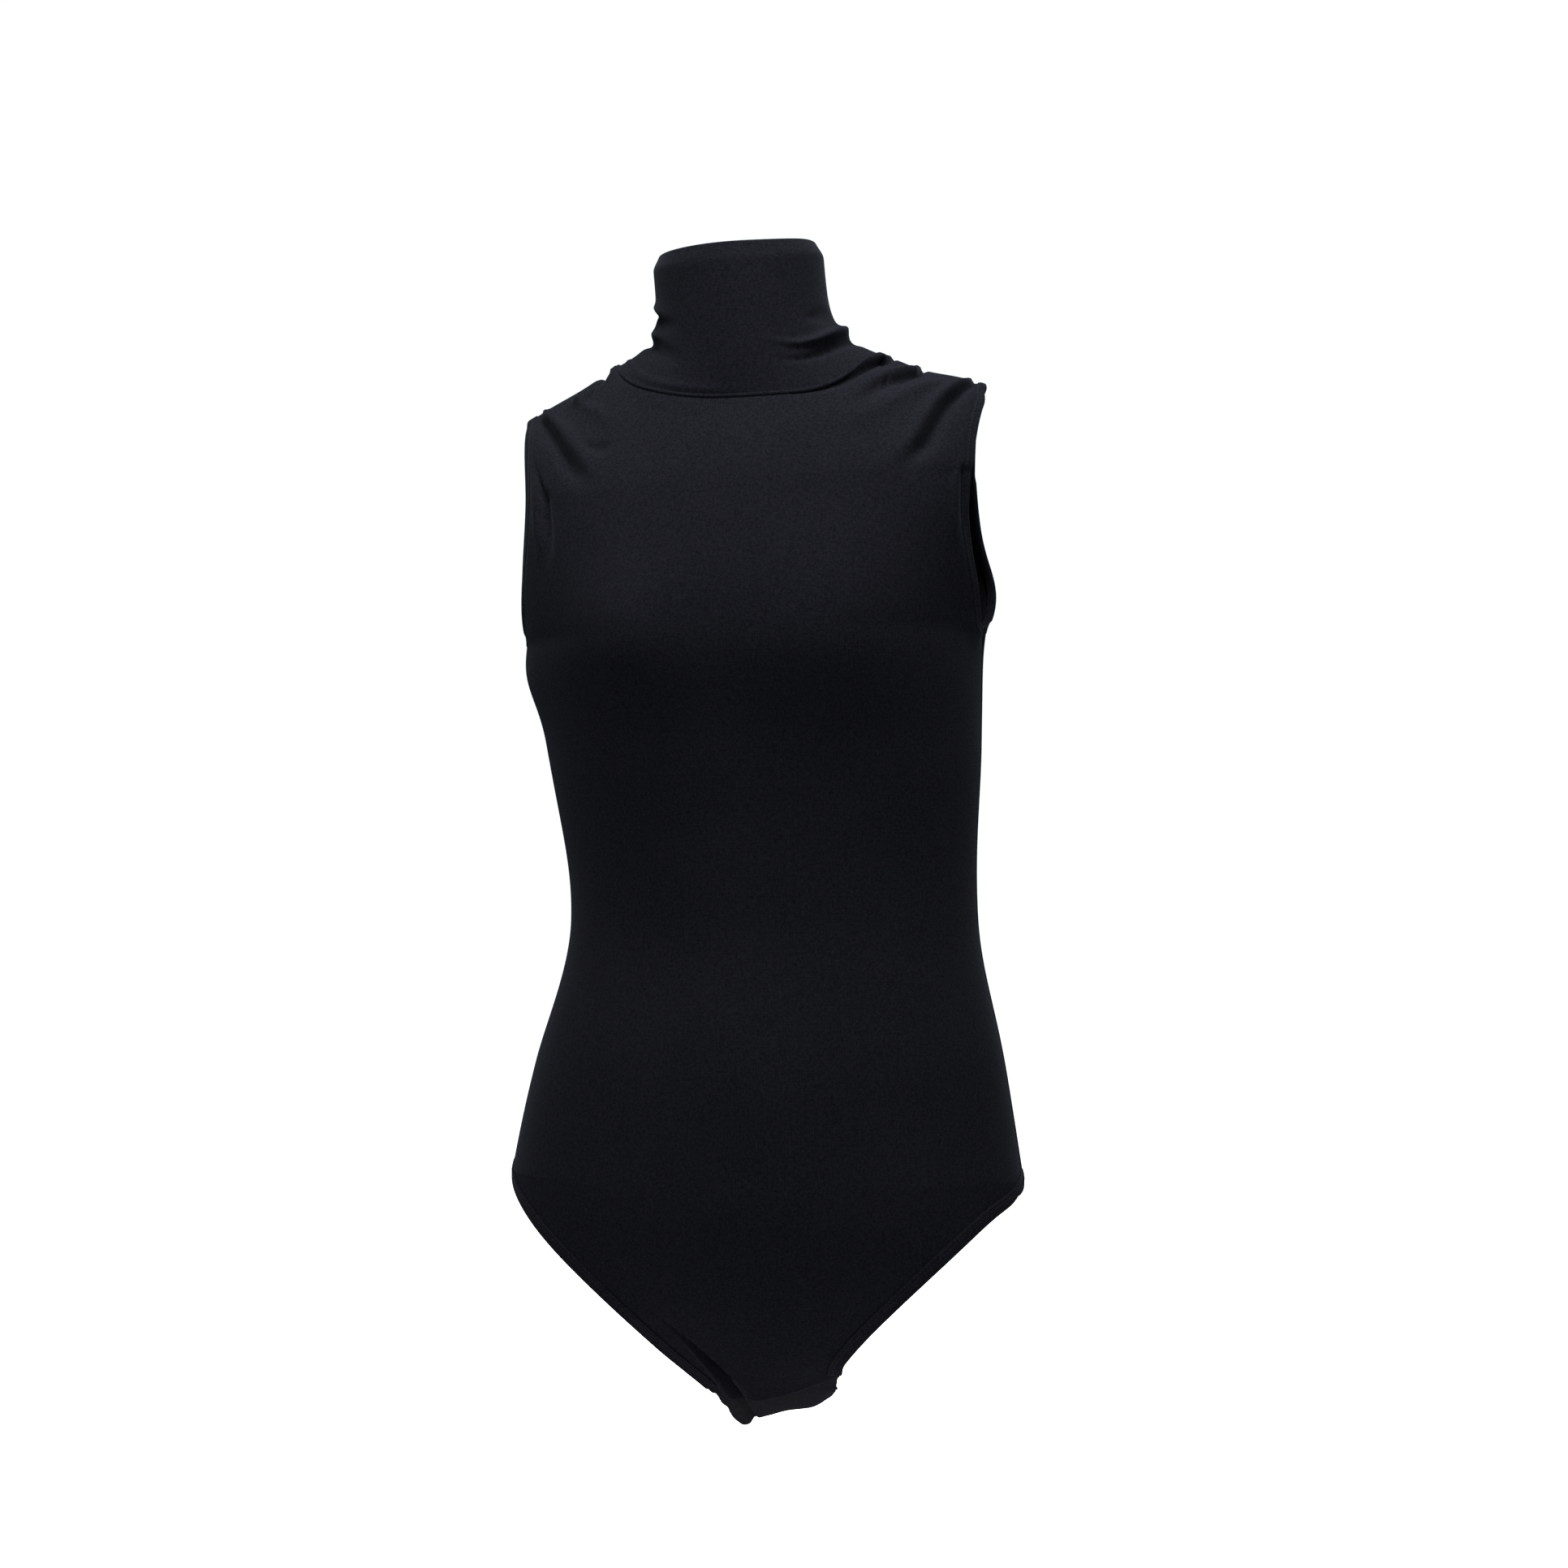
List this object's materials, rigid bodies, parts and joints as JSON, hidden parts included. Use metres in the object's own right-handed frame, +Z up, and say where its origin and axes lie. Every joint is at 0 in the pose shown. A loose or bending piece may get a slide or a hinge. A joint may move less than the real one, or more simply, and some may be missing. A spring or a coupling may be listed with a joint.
{
  "type": "gymnastics leotard",
  "caption": "Sleeveless high-neck stretch leotard in black jersey, worn shape, with elasticated openings and a press-stud crotch closure.",
  "frame": {"origin": "on the body's axis at the shoulder line, level with the two ends of the neck seam, where the garment hangs on its wearer", "axes": "+Z up towards the collar, the wearer faces -Y, and the wearer's left is +X"},
  "size_m": [0.328, 0.2166, 0.7422],
  "materials": {
    "jersey": "matte black stretch jersey with a fine knit and a soft sheen",
    "lining": "matte black lining knit",
    "elastic": "black elastic tape",
    "thread": "black overlocked seam",
    "stay_tape": "clear elastic stay tape",
    "label": "blank woven satin label",
    "stud_metal": "blackened press-stud metal"
  },
  "bodies": {
    "garment": {"front_panel": "jersey", "back_panel": "jersey", "collar": "jersey", "arm_hem_right": "jersey", "leg_hem_right": "jersey", "arm_elastic_right": "elastic", "leg_elastic_right": "elastic", "side_seam_right": "thread", "shoulder_seam_right": "thread", "shoulder_stay_right": "stay_tape", "arm_hem_left": "jersey", "leg_hem_left": "jersey", "arm_elastic_left": "elastic", "leg_elastic_left": "elastic", "side_seam_left": "thread", "shoulder_seam_left": "thread", "shoulder_stay_left": "stay_tape", "neck_seam": "thread", "front_gusset": "lining", "back_gusset": "lining", "care_label": "label", "size_label": "label"},
    "front_flap": {"front_tab": "jersey", "front_tape": "lining", "stud_cap_1": "stud_metal", "stud_socket_1": "stud_metal", "stud_cap_2": "stud_metal", "stud_socket_2": "stud_metal", "stud_cap_3": "stud_metal", "stud_socket_3": "stud_metal"},
    "back_flap": {"back_tab": "jersey", "back_tape": "lining", "stud_post_1": "stud_metal", "stud_ring_1": "stud_metal", "stud_post_2": "stud_metal", "stud_ring_2": "stud_metal", "stud_post_3": "stud_metal", "stud_ring_3": "stud_metal"}
  },
  "joints": [
    {"name": "front_flap_fold", "type": "hinge", "parent": "garment", "child": "front_flap", "pos_m": [0.016, -0.0274, -0.6504], "axis": [-1, 0, 0], "range_deg": [0, 110]},
    {"name": "back_flap_fold", "type": "hinge", "parent": "garment", "child": "back_flap", "pos_m": [0.016, 0.0275, -0.6455], "axis": [-1, 0, 0], "range_deg": [0, 50]}
  ]
}
